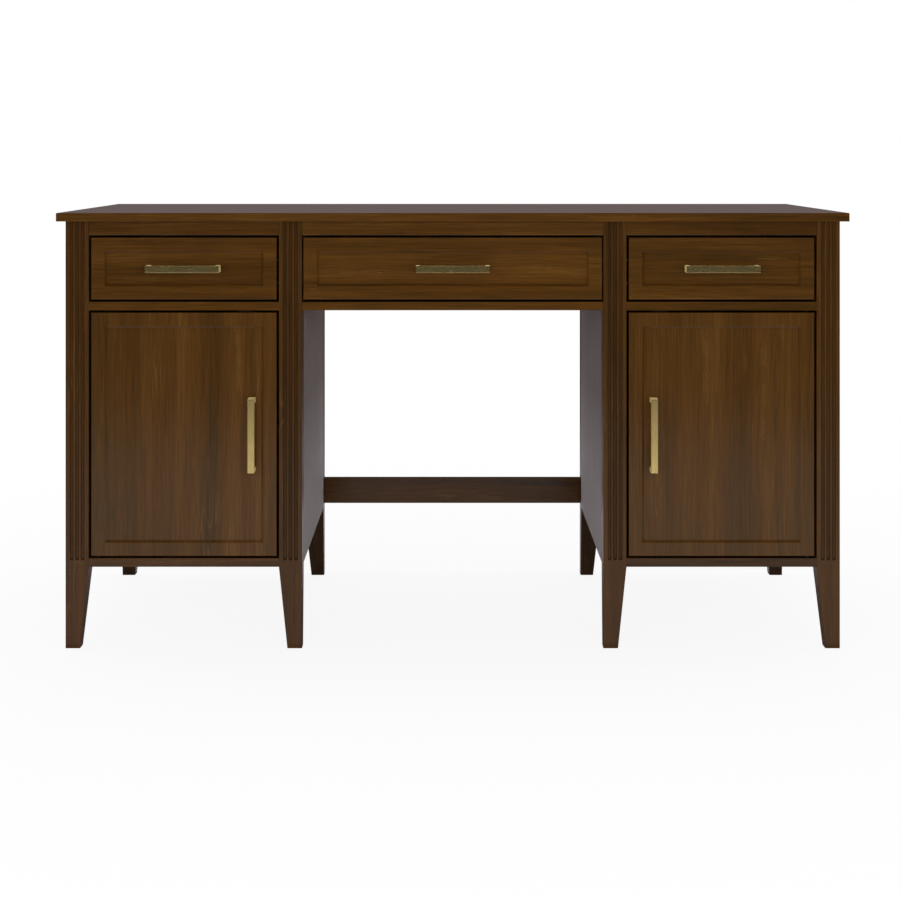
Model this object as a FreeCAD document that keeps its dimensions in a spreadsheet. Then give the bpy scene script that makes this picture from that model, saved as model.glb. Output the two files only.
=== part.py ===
import FreeCAD, Part
import os
import re
import Sketcher

# A twin-pedestal office desk. X runs along the desk, the front faces -Y, Z is up.
# The origin is on the floor under the middle of the desk, handles included.

document = FreeCAD.newDocument("office_desk")

# Driving dimensions in millimetres
SIZES = {
    # desktop
    "desk_width": 1400,
    "desk_depth": 600,
    "desk_height": 772,
    "top_thickness": 15,
    "top_side_overhang": 14,
    "top_front_overhang": 15,
    "top_edge_radius": 1.5,
    # legs
    "leg_size": 41,
    "foot_size": 26,
    "leg_edge_chamfer": 1,
    "flute_radius": 3.2,
    "flute_pitch": 9.8,
    "flute_foot": 156,
    "glide_radius": 8,
    "glide_thickness": 4,
    "glide_protrusion": 0.5,
    # pedestals
    "pedestal_width": 419,
    "case_underside": 144.5,
    "panel_thickness": 15,
    "side_thickness": 16,
    "back_thickness": 8,
    "back_inset": 10,
    "top_rail_height": 25,
    "rail_depth": 20,
    "drawer_opening": 118,
    # kneehole
    "apron_thickness": 16,
    "stretcher_thickness": 12,
    "stretcher_height": 53,
    "stretcher_underside": 147.5,
    # fronts
    "front_setback": 1,
    "front_thickness": 18,
    "front_gap": 4,
    "centre_side_gap": 2.2,
    "front_edge_radius": 1.5,
    "recess_border": 23.5,
    "recess_depth": 4,
    "recess_slope": 4,
    # handles
    "handle_length": 130,
    "handle_width": 12,
    "handle_projection": 30,
    "handle_bar": 6,
    "handle_post": 7,
    "handle_chamfer": 0.7,
    "door_handle_inset": 43.3,
    "screw_radius": 2,
    "screw_head_radius": 4,
    "screw_head_height": 2.2,
    "screw_bite": 12,
    "screw_hole_clearance": 0.25,
    # drawer boxes
    "drawer_rear_clearance": 80,
    "drawer_lift": 10,
    "drawer_side_height": 85,
    "drawer_side_thickness": 12,
    "drawer_back_thickness": 12,
    "drawer_bottom_thickness": 5,
    "groove_height": 10,
    "groove_depth": 6,
    "groove_clearance": 0.2,
    # drawer runners
    "runner_space": 12.7,
    "runner_height": 45,
    "runner_gauge": 1.5,
    "runner_clearance": 0.4,
    "runner_setback": 3,
    "runner_end_gap": 17,
    "spacer_height": 60,
    # door pivots
    "pivot_inset": 12,
    "pivot_radius": 3,
    "pivot_seat": 10,
    "pivot_flange_radius": 7,
    "pivot_play": 0.3,
    "pivot_reach": 11,
    "bush_radius": 5,
    "bush_length": 13,
    "bush_flange": 1,
    "running_clearance": 0.05,
    "catch_length": 30,
    "catch_depth": 16,
    "catch_height": 12,
    "catch_inset": 45,
    "catch_clearance": 0.3,
    # shelves and glue blocks
    "shelf_thickness": 16,
    "shelf_level": 372,
    "shelf_side_clearance": 1,
    "shelf_end_gap": 5,
    "shelf_pin_radius": 2.5,
    "shelf_pin_seat": 8,
    "shelf_pin_reach": 8,
    "shelf_pin_inset": 60,
    "block_size": 20,
    "block_length": 60,
    "block_inset": 30,
}

# Planes and levels that follow from the driving dimensions
LAYOUT = {
    "handle_reach": "handle_projection - recess_depth - front_setback",
    "leg_front": "(handle_reach - desk_depth + top_front_overhang) / 2",
    "leg_rear": "leg_front + desk_depth - top_front_overhang",
    "front_leg_back": "leg_front + leg_size",
    "rear_leg_front": "leg_rear - leg_size",
    "top_front": "leg_front - top_front_overhang",
    "face": "leg_front + front_setback",
    "face_back": "face + front_thickness",
    "recess_floor": "face + recess_depth",
    "back_face": "leg_rear - back_inset - back_thickness",
    "apron_face": "leg_rear - back_inset - apron_thickness",
    "pedestal_outer": "desk_width / 2 - top_side_overhang",
    "knee_half": "pedestal_outer - pedestal_width",
    "pedestal_middle": "knee_half + pedestal_width / 2",
    "opening_half": "pedestal_width / 2 - leg_size",
    "top_underside": "desk_height - top_thickness",
    "drawer_ceiling": "top_underside - top_rail_height",
    "drawer_floor": "drawer_ceiling - drawer_opening",
    "divider_underside": "drawer_floor - panel_thickness",
    "cupboard_floor": "case_underside + panel_thickness",
    "drawer_front_base": "drawer_floor + front_gap",
    "drawer_front_height": "drawer_opening - 2 * front_gap",
    "drawer_front_middle": "drawer_floor + drawer_opening / 2",
    "door_base": "cupboard_floor + front_gap",
    "door_height": "divider_underside - cupboard_floor - 2 * front_gap",
    "door_width": "2 * opening_half - 2 * front_gap",
    "door_middle": "door_base + door_height / 2",
    "box_base": "drawer_floor + drawer_lift",
    "box_top": "box_base + drawer_side_height",
    "groove_base": "box_base + groove_height",
    "groove_size": "drawer_bottom_thickness + 2 * groove_clearance",
    "drawer_length": "apron_face - drawer_rear_clearance - face_back",
    "runner_middle": "box_base + drawer_side_height / 2",
    "runner_start": "face_back + runner_setback",
    "runner_length": "drawer_length - runner_setback - runner_end_gap",
    "pivot_line": "face + front_thickness / 2",
    "pivot_flange": "front_gap - bush_flange - pivot_play",
    "pivot_x": "knee_half + pedestal_width - leg_size - front_gap - pivot_inset",
    "screw_spread": "handle_length / 2 - handle_post / 2",
}

SIDES = (("left", -1), ("right", 1))
ENDS = (("lower", -1), ("upper", 1))

pieces = []


# Expressions over the sheets

def with_sheets(text, names_own_sheet=False):
    """Put the sheet's name before each size in an expression."""
    def named(found):
        word = found.group(0)
        if word in SIZES:
            return "sizes." + word
        if word in LAYOUT and not names_own_sheet:
            return "layout." + word
        return word
    return re.sub(r"[a-z_]+", named, text)


def bind(item, property_name, text):
    item.setExpression(property_name, with_sheets(text))


def number(text):
    """The present value of an expression, in millimetres."""
    return float(layout.evalExpression(with_sheets(text)))


def mirrored(side, low, high):
    """A range along X on the right of the desk, or its mirror image on the left."""
    if side > 0:
        return low, high
    return f"-({high})", f"-({low})"


def on_side(side, text):
    return text if side > 0 else f"-({text})"


def fill_sheet(name, cells):
    sheet = document.addObject("Spreadsheet::Sheet", name)
    for row, (alias, value) in enumerate(cells.items(), start=1):
        sheet.set(f"A{row}", alias)
        sheet.set(f"B{row}", value)
        sheet.setAlias(f"B{row}", alias)
    return sheet


fill_sheet("sizes", {alias: str(value) for alias, value in SIZES.items()})
layout = fill_sheet("layout", {alias: "=" + with_sheets(text, True) for alias, text in LAYOUT.items()})
document.recompute()


# Solids from primitives

def node(item, label):
    """Name a finished piece of the desk."""
    item.Label = label
    pieces.append(item)
    return item


def place(item, x, y, z):
    bind(item, "Placement.Base.x", x)
    bind(item, "Placement.Base.y", y)
    bind(item, "Placement.Base.z", z)


def box(name, x, y, z):
    """A board between two planes each way."""
    item = document.addObject("Part::Box", name)
    bind(item, "Length", f"({x[1]}) - ({x[0]})")
    bind(item, "Width", f"({y[1]}) - ({y[0]})")
    bind(item, "Height", f"({z[1]}) - ({z[0]})")
    place(item, x[0], y[0], z[0])
    return item


AXIS_TURNS = {
    "x": FreeCAD.Rotation(FreeCAD.Vector(0, 1, 0), 90),
    "y": FreeCAD.Rotation(FreeCAD.Vector(1, 0, 0), -90),
    "z": FreeCAD.Rotation(),
}


def rod(name, axis, start, radius, length):
    """A cylinder from a point along an axis."""
    item = document.addObject("Part::Cylinder", name)
    bind(item, "Radius", radius)
    bind(item, "Height", length)
    item.Placement = FreeCAD.Placement(FreeCAD.Vector(), AXIS_TURNS[axis])
    place(item, *start)
    return item


def ball(name, centre, radius):
    item = document.addObject("Part::Sphere", name)
    bind(item, "Radius", radius)
    place(item, *centre)
    return item


def fused(name, shapes):
    item = document.addObject("Part::MultiFuse", name)
    item.Shapes = shapes
    item.Refine = True
    return item


def cut(name, base, tools):
    item = document.addObject("Part::Cut", name)
    item.Base = base
    item.Tool = tools[0] if len(tools) == 1 else fused(name + "_tools", tools)
    item.Refine = True
    return item


def group(name, solids):
    """Like pieces that share a node as separate solids."""
    item = document.addObject("Part::Compound", name)
    item.Links = solids
    return item


# Solids from sketches

def sketch_on(body, name, role, lift="0"):
    """A sketch on one of the body's own planes, lifted along the plane's normal."""
    sketch = body.newObject("Sketcher::SketchObject", name)
    plane = next(item for item in body.Origin.OriginFeatures if item.Role == role)
    sketch.AttachmentSupport = [(plane, "")]
    sketch.MapMode = "FlatFace"
    bind(sketch, "AttachmentOffset.Base.z", lift)
    return sketch


def hold_point(sketch, geometry, vertex, place_texts):
    """Fix a sketch point at a place worked out from the sheets."""
    for kind, text in zip(("DistanceX", "DistanceY"), place_texts):
        index = sketch.addConstraint(Sketcher.Constraint(kind, -1, 1, geometry, vertex, number(text)))
        bind(sketch, f"Constraints[{index}]", text)


def polygon(body, name, role, corners, lift="0"):
    sketch = sketch_on(body, name, role, lift)
    points = [FreeCAD.Vector(number(u), number(v), 0) for u, v in corners]
    count = len(points)
    for index in range(count):
        sketch.addGeometry(Part.LineSegment(points[index], points[(index + 1) % count]))
    for index in range(count):
        sketch.addConstraint(Sketcher.Constraint("Coincident", index, 2, (index + 1) % count, 1))
        hold_point(sketch, index, 1, corners[index])
    return sketch


def rectangle(body, name, role, x, y, lift="0"):
    corners = [(x[0], y[0]), (x[1], y[0]), (x[1], y[1]), (x[0], y[1])]
    return polygon(body, name, role, corners, lift)


def circles(body, name, role, centres, radius, lift="0"):
    sketch = sketch_on(body, name, role, lift)
    for index, centre in enumerate(centres):
        point = FreeCAD.Vector(number(centre[0]), number(centre[1]), 0)
        sketch.addGeometry(Part.Circle(point, FreeCAD.Vector(0, 0, 1), number(radius)))
        hold_point(sketch, index, 3, centre)
        size = sketch.addConstraint(Sketcher.Constraint("Radius", index, number(radius)))
        bind(sketch, f"Constraints[{size}]", radius)
    return sketch


def pad(body, name, sketch, length, backwards=False):
    feature = body.newObject("PartDesign::Pad", name)
    feature.Profile = sketch
    feature.Reversed = backwards
    bind(feature, "Length", length)
    document.recompute()
    return feature


def pocket(body, name, sketch, depth, backwards=False, taper="0"):
    """Cut a sketch into the body, and make sure that the cut took something away."""
    volume_before = body.Shape.Volume
    feature = body.newObject("PartDesign::Pocket", name)
    feature.Profile = sketch
    feature.Reversed = backwards
    bind(feature, "Length", depth)
    bind(feature, "TaperAngle", taper)
    document.recompute()
    if body.Shape.Volume >= volume_before:
        raise RuntimeError(name + " cuts nothing")
    return feature


def edge_names(shape, wanted):
    """The names of the edges whose two end points both pass a test."""
    names = []
    for index, edge in enumerate(shape.Edges, start=1):
        points = [vertex.Point for vertex in edge.Vertexes]
        if len(points) == 2 and wanted(points):
            names.append(f"Edge{index}")
    return names


def ease(body, kind, feature, edges, property_name, size):
    """Round or chamfer some edges of the body's last feature."""
    eased = body.newObject(kind, feature.Name + "_eased")
    eased.Base = (feature, edges)
    bind(eased, property_name, size)
    document.recompute()
    return eased


def level(points, axis, value):
    return all(abs(getattr(point, axis) - value) < 1e-4 for point in points)


def new_body(name):
    return document.addObject("PartDesign::Body", name)


# Desktop

def make_desktop():
    body = new_body("desktop")
    x = ("-desk_width / 2", "desk_width / 2")
    outline = rectangle(body, "desktop_outline", "XY_Plane", x, ("top_front", "leg_rear"), "top_underside")
    slab = pad(body, "desktop_slab", outline, "top_thickness")
    upper = number("desk_height")
    edges = edge_names(slab.Shape, lambda points: level(points, "z", upper) or points[0].z != points[1].z)
    ease(body, "PartDesign::Fillet", slab, edges, "Radius", "top_edge_radius")
    node(body, "desktop")


# Legs

LEG_ROWS = {
    "front": (("leg_front", "front_leg_back"), ("leg_front", "leg_front + foot_size")),
    "rear": (("rear_leg_front", "leg_rear"), ("leg_rear - foot_size", "leg_rear")),
}
LEG_COLUMNS = {
    "inner": (("knee_half", "knee_half + leg_size"), ("knee_half", "knee_half + foot_size")),
    "outer": (("pedestal_outer - leg_size", "pedestal_outer"),
              ("pedestal_outer - foot_size", "pedestal_outer")),
}
FLUTE_STEPS = (-1, 0, 1)


def middle(limits):
    return f"(({limits[0]}) + ({limits[1]})) / 2"


def flute_tools(name, leg_x):
    """Round-nosed cutters down the leg's front face, one for each flute."""
    tools = []
    for step in FLUTE_STEPS:
        x = f"{middle(leg_x)} + {step} * flute_pitch"
        nose = "flute_foot + flute_radius"
        tools.append(rod(f"{name}_flute", "z", (x, "leg_front", nose), "flute_radius",
                         f"top_underside - ({nose})"))
        tools.append(ball(f"{name}_flute_nose", (x, "leg_front", nose), "flute_radius"))
    return tools


def eased_square(x, y):
    """The corner points of a square whose four corners are cut off."""
    near_x = f"{x[0]} + leg_edge_chamfer"
    far_x = f"{x[1]} - leg_edge_chamfer"
    near_y = f"{y[0]} + leg_edge_chamfer"
    far_y = f"{y[1]} - leg_edge_chamfer"
    return [(near_x, y[0]), (far_x, y[0]), (x[1], near_y), (x[1], far_y),
            (far_x, y[1]), (near_x, y[1]), (x[0], far_y), (x[0], near_y)]


def leg_post(name, leg_square, foot_square):
    """A square post with eased corners, tapered from the case's underside to its foot."""
    body = new_body(name)
    foot = polygon(body, name + "_foot_outline", "XY_Plane", eased_square(*foot_square), "glide_protrusion")
    outline = polygon(body, name + "_outline", "XY_Plane", eased_square(*leg_square), "case_underside")
    taper = body.newObject("PartDesign::AdditiveLoft", name + "_taper")
    taper.Profile = foot
    taper.Sections = [outline]
    taper.Ruled = True
    document.recompute()
    pad(body, name + "_shaft", outline, "top_underside - case_underside")
    return body


def make_legs():
    glides = []
    for side_name, side in SIDES:
        for column, (column_leg, column_foot) in LEG_COLUMNS.items():
            for row, (leg_y, foot_y) in LEG_ROWS.items():
                name = f"{side_name}_{column}_{row}_leg"
                leg_x = mirrored(side, *column_leg)
                foot_x = mirrored(side, *column_foot)
                post = leg_post(name + "_post", (leg_x, leg_y), (foot_x, foot_y))
                glide_place = (middle(foot_x), middle(foot_y), "0")
                seat = rod(name + "_glide_seat", "z", glide_place,
                           "glide_radius + running_clearance", "glide_thickness")
                glides.append(rod(name + "_glide", "z", glide_place, "glide_radius", "glide_thickness"))
                tools = [seat]
                if row == "front":
                    tools += flute_tools(name, leg_x)
                node(cut(name, post, tools), name)
    node(group("foot_glides", glides), "foot_glides")


# Pedestal cases

CASE_INSIDE = ("knee_half + side_thickness", "pedestal_outer - side_thickness")
BETWEEN_LEGS = ("knee_half + leg_size", "pedestal_outer - leg_size")
LEG_TO_LEG = ("front_leg_back", "rear_leg_front")
SHELF_PIN_ROWS = ("front_leg_back + shelf_pin_inset", "rear_leg_front - shelf_pin_inset")
SHELF_PIN_LEVEL = "shelf_level - shelf_pin_radius"


def make_side_panels(side_name, side):
    """The two side panels of a pedestal, bored for the shelf pins, and the pins."""
    pins = []
    walls = {
        "inner": (("knee_half", "knee_half + side_thickness"), "knee_half + side_thickness - shelf_pin_seat"),
        "outer": (("pedestal_outer - side_thickness", "pedestal_outer"),
                  "pedestal_outer - side_thickness - shelf_pin_reach"),
    }
    for wall, (wall_x, pin_x) in walls.items():
        name = f"{side_name}_{wall}_side_panel"
        board = box(name + "_board", mirrored(side, *wall_x), LEG_TO_LEG, ("case_underside", "top_underside"))
        pin_length = "shelf_pin_seat + shelf_pin_reach"
        pin_start = mirrored(side, pin_x, f"{pin_x} + {pin_length}")[0]
        bores = []
        for row in SHELF_PIN_ROWS:
            start = (pin_start, row, SHELF_PIN_LEVEL)
            bores.append(rod(name + "_bore", "x", start, "shelf_pin_radius + running_clearance", pin_length))
            pins.append(rod(name + "_pin", "x", start, "shelf_pin_radius", pin_length))
        node(cut(name, board, bores), name)
    return pins


def case_panel(name, side, underside):
    """A level panel notched round the four legs. Its front edge is the rail that shows."""
    wide = mirrored(side, *CASE_INSIDE)
    narrow = mirrored(side, *BETWEEN_LEGS)
    leg_back, leg_front = LEG_TO_LEG
    corners = [
        (narrow[0], "face"), (narrow[1], "face"), (narrow[1], leg_back), (wide[1], leg_back),
        (wide[1], leg_front), (narrow[1], leg_front), (narrow[1], "back_face"), (narrow[0], "back_face"),
        (narrow[0], leg_front), (wide[0], leg_front), (wide[0], leg_back), (narrow[0], leg_back),
    ]
    body = new_body(name)
    outline = polygon(body, name + "_outline", "XY_Plane", corners, underside)
    pad(body, name + "_board", outline, "panel_thickness")
    return node(body, name)


def pivot_bore(body, side, cupboard_face, upwards):
    """The seat of a door pivot, sunk into the panel from inside the cupboard."""
    centre = (on_side(side, "pivot_x"), "pivot_line")
    sketch = circles(body, body.Name + "_pivot", "XY_Plane", [centre],
                     "pivot_radius + running_clearance", cupboard_face)
    pocket(body, body.Name + "_pivot_bore", sketch, "pivot_seat", upwards)


def make_pedestals():
    pins, spacers, backs, rails, shelves = [], [], [], [], []
    for side_name, side in SIDES:
        pins += make_side_panels(side_name, side)
        floor = case_panel(f"{side_name}_bottom_panel", side, "case_underside")
        pivot_bore(floor, side, "cupboard_floor", False)
        divider = case_panel(f"{side_name}_divider_panel", side, "divider_underside")
        pivot_bore(divider, side, "divider_underside", True)
        between = mirrored(side, *BETWEEN_LEGS)
        backs.append(box(f"{side_name}_back_panel", between, ("back_face", "back_face + back_thickness"),
                         ("case_underside", "top_underside")))
        rails.append(box(f"{side_name}_top_rail", between, ("face", "face + rail_depth"),
                         ("drawer_ceiling", "top_underside")))
        shelf_x = (f"{CASE_INSIDE[0]} + shelf_side_clearance", f"{CASE_INSIDE[1]} - shelf_side_clearance")
        shelf_y = ("front_leg_back + shelf_end_gap", "rear_leg_front - shelf_end_gap")
        shelves.append(box(f"{side_name}_shelf", mirrored(side, *shelf_x), shelf_y,
                           ("shelf_level", "shelf_level + shelf_thickness")))
        spacer_z = ("runner_middle - spacer_height / 2", "runner_middle + spacer_height / 2")
        for low, high in zip(CASE_INSIDE, BETWEEN_LEGS):
            wall_x = (low, high) if low == CASE_INSIDE[0] else (high, low)
            spacers.append(box(f"{side_name}_runner_spacer", mirrored(side, *wall_x), LEG_TO_LEG, spacer_z))
    node(group("shelf_pins", pins), "shelf_pins")
    node(group("runner_spacers", spacers), "runner_spacers")
    node(group("pedestal_back_panels", backs), "pedestal_back_panels")
    node(group("pedestal_top_rails", rails), "pedestal_top_rails")
    node(group("cupboard_shelves", shelves), "cupboard_shelves")


# Frame across the kneehole

def make_kneehole_frame():
    """Boards between the pedestals. The rail under the drawer reaches back to the apron as a dust panel."""
    across = ("-knee_half", "knee_half")
    boards = {
        "centre_top_rail": (("face", "face + rail_depth"), ("drawer_ceiling", "top_underside")),
        "centre_drawer_rail": (("face", "apron_face"), ("divider_underside", "drawer_floor")),
        "rear_apron": (("apron_face", "apron_face + apron_thickness"), ("divider_underside", "top_underside")),
        "rear_stretcher": (("leg_rear - stretcher_thickness", "leg_rear"),
                           ("stretcher_underside", "stretcher_underside + stretcher_height")),
    }
    for name, (y, z) in boards.items():
        node(box(name, across, y, z), name)


def make_glue_blocks():
    """Blocks glued in the corners between the rails, backs and apron and the desktop."""
    z = ("top_underside - block_size", "top_underside")
    behind_rail = ("face + rail_depth", "face + rail_depth + block_size")
    before_back = ("back_face - block_size", "back_face")
    before_apron = ("apron_face - block_size", "apron_face")
    places = [("-knee_half", "knee_half", behind_rail), ("-knee_half", "knee_half", before_apron)]
    for _, side in SIDES:
        low, high = mirrored(side, *BETWEEN_LEGS)
        places += [(low, high, behind_rail), (low, high, before_back)]
    blocks = []
    for low, high, y in places:
        near = (f"{low} + block_inset", f"{low} + block_inset + block_length")
        far = (f"{high} - block_inset - block_length", f"{high} - block_inset")
        blocks += [box("glue_block", near, y, z), box("glue_block", far, y, z)]
    node(group("glue_blocks", blocks), "glue_blocks")


# Drawer and door fronts

def front_slab(name, middle_x, width, height, base, screw_places):
    """A slab with a sunk panel and holes for its handle's screws."""
    body = new_body(name)
    place(body, middle_x, "face", base)
    half = f"({width}) / 2"
    outline = rectangle(body, name + "_outline", "XZ_Plane", (f"-{half}", half), ("0", height))
    pad(body, name + "_slab", outline, "front_thickness", True)
    recess = rectangle(body, name + "_recess_outline", "XZ_Plane",
                       (f"recess_border - {half}", f"{half} - recess_border"),
                       ("recess_border", f"{height} - recess_border"))
    pocket(body, name + "_recess", recess, "recess_depth", taper="-atan(recess_slope / recess_depth)")
    holes = circles(body, name + "_screw_places", "XZ_Plane", screw_places,
                    "screw_radius + screw_hole_clearance")
    bored = pocket(body, name + "_screw_holes", holes, "front_thickness")
    rim = edge_names(bored.Shape, lambda points: is_front_rim(points, number(half), number(height)))
    ease(body, "PartDesign::Fillet", bored, rim, "Radius", "front_edge_radius")
    return node(body, name)


def is_front_rim(points, half_width, height):
    """Whether an edge lies on the front face's outer rectangle."""
    on_front = level(points, "y", 0)
    on_sides = level(points, "x", half_width) or level(points, "x", -half_width)
    on_ends = level(points, "z", 0) or level(points, "z", height)
    return on_front and (on_sides or on_ends)


# Handles and their screws

def make_handle(name, x, z, upright):
    """A bar on two posts, bored for its screws. It lies along X, or stands along Z."""
    body = new_body(name)
    if upright:
        body.Placement = FreeCAD.Placement(FreeCAD.Vector(), AXIS_TURNS["x"])
    place(body, x, "recess_floor", z)
    half = "handle_length / 2"
    inner = f"{half} - handle_post"
    under_bar = "handle_bar - handle_projection"
    corners = [
        (f"-{half}", "0"), (f"-{half}", "-handle_projection"), (half, "-handle_projection"), (half, "0"),
        (inner, "0"), (inner, under_bar), (f"-({inner})", under_bar), (f"-({inner})", "0"),
    ]
    profile = polygon(body, name + "_profile", "XY_Plane", corners, "-handle_width / 2")
    bar = pad(body, name + "_bar", profile, "handle_width")
    front = -number("handle_projection")
    edges = edge_names(bar.Shape, lambda points: level(points, "y", front))
    ease(body, "PartDesign::Chamfer", bar, edges, "Size", "handle_chamfer")
    places = [("-screw_spread", "0"), ("screw_spread", "0")]
    holes = circles(body, name + "_screw_places", "XZ_Plane", places, "screw_radius + running_clearance")
    pocket(body, name + "_screw_holes", holes, "screw_bite", True)
    node(body, name)


def make_handle_screws(name, places):
    """Pan-head screws from behind a front into the handle's posts."""
    screws = []
    for x, z in places:
        shank = rod(name + "_shank", "y", (x, "recess_floor - screw_bite", z), "screw_radius",
                    "face_back - recess_floor + screw_bite")
        head = rod(name + "_head", "y", (x, "face_back", z), "screw_head_radius", "screw_head_height")
        screws.append(fused(name + "_screw", [shank, head]))
    node(group(name, screws), name)


# Drawers

DRAWERS = {
    "left": ("-pedestal_middle", "opening_half", "front_gap"),
    "centre": ("0", "knee_half", "centre_side_gap"),
    "right": ("pedestal_middle", "opening_half", "front_gap"),
}


def channel(name, x, y, height, web_at_low):
    """A rolled steel channel along Y, its web at one end of its range along X."""
    half = f"({height}) / 2"
    inner_half = f"{half} - runner_gauge"
    whole = box(name + "_bar", x, y, (f"runner_middle - {half}", f"runner_middle + {half}"))
    hollow_x = (f"{x[0]} + runner_gauge", x[1]) if web_at_low else (x[0], f"{x[1]} - runner_gauge")
    hollow = box(name + "_hollow", hollow_x, y,
                 (f"runner_middle - ({inner_half})", f"runner_middle + {inner_half}"))
    return cut(name, whole, [hollow])


def make_runners(name, middle_x, half):
    """The tracks on the case and the slides on the drawer, one pair at each side."""
    y = ("runner_start", "runner_start + runner_length")
    slide_height = "runner_height - 2 * runner_gauge - 2 * runner_clearance"
    tracks, slides = [], []
    for side_name, side in SIDES:
        track_x = mirrored(side, f"{half} - runner_space + runner_clearance", half)
        slide_x = mirrored(side, f"{half} - runner_space", f"{half} - runner_gauge - runner_clearance")
        track_x = [f"{middle_x} + {text}" for text in track_x]
        slide_x = [f"{middle_x} + {text}" for text in slide_x]
        tracks.append(channel(f"{name}_{side_name}_track", track_x, y, "runner_height", side < 0))
        slides.append(channel(f"{name}_{side_name}_slide", slide_x, y, slide_height, side > 0))
    node(group(f"{name}_drawer_slides", slides), f"{name}_drawer_slides")
    return tracks


def make_drawer_box(name, middle_x, half):
    """Grooved sides, a bottom held in the grooves and a back standing on the bottom."""
    y = ("face_back", "face_back + drawer_length")
    outside = f"{half} - runner_space"
    inside = f"{outside} - drawer_side_thickness"
    groove_z = ("groove_base", "groove_base + groove_size")
    sides = []
    for side_name, side in SIDES:
        board_x = [f"{middle_x} + {text}" for text in mirrored(side, inside, outside)]
        groove_x = [f"{middle_x} + {text}" for text in mirrored(side, inside, f"{inside} + groove_depth")]
        board = box(f"{name}_{side_name}_board", board_x, y, ("box_base", "box_top"))
        groove = box(f"{name}_{side_name}_groove", groove_x, y, groove_z)
        sides.append(cut(f"{name}_{side_name}_side", board, [groove]))
    node(group(f"{name}_drawer_sides", sides), f"{name}_drawer_sides")
    bottom_half = f"{inside} + groove_depth - groove_clearance"
    bottom_base = "groove_base + groove_clearance"
    bottom_top = f"{bottom_base} + drawer_bottom_thickness"
    bottom = box(f"{name}_drawer_bottom", (f"{middle_x} - ({bottom_half})", f"{middle_x} + {bottom_half}"), y,
                 (bottom_base, bottom_top))
    node(bottom, f"{name}_drawer_bottom")
    back = box(f"{name}_drawer_back", (f"{middle_x} - ({inside})", f"{middle_x} + {inside}"),
               (f"{y[1]} - drawer_back_thickness", y[1]), (bottom_top, "box_top"))
    node(back, f"{name}_drawer_back")


def make_drawers():
    tracks = []
    for name, (middle_x, half, side_gap) in DRAWERS.items():
        screw_level = "drawer_front_height / 2"
        front_slab(f"{name}_drawer_front", middle_x, f"2 * {half} - 2 * {side_gap}", "drawer_front_height",
                   "drawer_front_base", [("-screw_spread", screw_level), ("screw_spread", screw_level)])
        make_drawer_box(name, middle_x, half)
        tracks += make_runners(name, middle_x, half)
        make_handle(f"{name}_drawer_handle", middle_x, "drawer_front_middle", False)
        make_handle_screws(f"{name}_drawer_handle_screws",
                           [(f"{middle_x} {way} screw_spread", "drawer_front_middle") for way in "-+"])
    node(group("runner_tracks", tracks), "runner_tracks")


# Doors

DOOR_HANDLE_X = "pedestal_middle - door_width / 2 + door_handle_inset"


def bush_bores(body, side):
    """Sockets for the pivot bushes in the lower and upper edges of a door."""
    centre_x = on_side(side, "door_width / 2 - pivot_inset")
    faces = {"lower": ("0", True), "upper": ("door_height", False)}
    for end, (lift, upwards) in faces.items():
        sketch = circles(body, f"{body.Name}_{end}_bush", "XY_Plane", [(centre_x, "front_thickness / 2")],
                         "bush_radius + running_clearance", lift)
        pocket(body, f"{body.Name}_{end}_bush_bore", sketch, "bush_length", upwards)


def make_pivot(name, x, end):
    """A flanged pin seated in the case and the flanged bush that turns on it."""
    floor = {-1: "cupboard_floor", 1: "divider_underside"}[end]
    edge = {-1: "door_base", 1: "door_base + door_height"}[end]

    def ring(part_name, radius, origin, near, far):
        """A disc between two heights, both measured from a face towards the door's middle."""
        low, high = (near, far) if end < 0 else (f"-({far})", f"-({near})")
        return rod(part_name, "z", (x, "pivot_line", f"{origin} + {low}"), radius, f"({high}) - ({low})")

    pin = fused(name + "_pin", [
        ring(name + "_pin_seat", "pivot_radius", floor, "-pivot_seat", "0"),
        ring(name + "_pin_flange", "pivot_flange_radius", floor, "0", "pivot_flange"),
        ring(name + "_pin_journal", "pivot_radius", floor, "pivot_flange", "pivot_flange + pivot_reach"),
    ])
    sleeve = fused(name + "_bush_body", [
        ring(name + "_bush_flange", "pivot_flange_radius", edge, "-bush_flange", "0"),
        ring(name + "_bush_sleeve", "bush_radius", edge, "0", "bush_length"),
    ])
    bore = ring(name + "_bush_bore", "pivot_radius + running_clearance", edge, "-bush_flange", "bush_length")
    return pin, cut(name + "_bush", sleeve, [bore])


def make_catch(side_name, side):
    """A block under the divider that the closed door's free edge rests against."""
    x = ("knee_half + leg_size + catch_inset", "knee_half + leg_size + catch_inset + catch_length")
    y = ("face_back + catch_clearance", "face_back + catch_clearance + catch_depth")
    z = ("divider_underside - catch_height", "divider_underside")
    return box(f"{side_name}_catch", mirrored(side, *x), y, z)


def make_doors():
    pins, catches = [], []
    for side_name, side in SIDES:
        name = f"{side_name}_door"
        handle_x = on_side(side, DOOR_HANDLE_X)
        screw_x = on_side(side, "door_handle_inset - door_width / 2")
        screw_places = [(screw_x, f"door_height / 2 {way} screw_spread") for way in "-+"]
        door = front_slab(name, on_side(side, "pedestal_middle"), "door_width", "door_height", "door_base",
                          screw_places)
        bush_bores(door, side)
        make_handle(f"{name}_handle", handle_x, "door_middle", True)
        make_handle_screws(f"{name}_handle_screws",
                           [(handle_x, f"door_middle {way} screw_spread") for way in "-+"])
        bushes = []
        for end_name, end in ENDS:
            pin, bush = make_pivot(f"{name}_{end_name}", on_side(side, "pivot_x"), end)
            pins.append(pin)
            bushes.append(bush)
        node(group(f"{name}_pivot_bushes", bushes), f"{name}_pivot_bushes")
        catches.append(make_catch(side_name, side))
    node(group("door_pivot_pins", pins), "door_pivot_pins")
    node(group("door_catches", catches), "door_catches")


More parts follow.
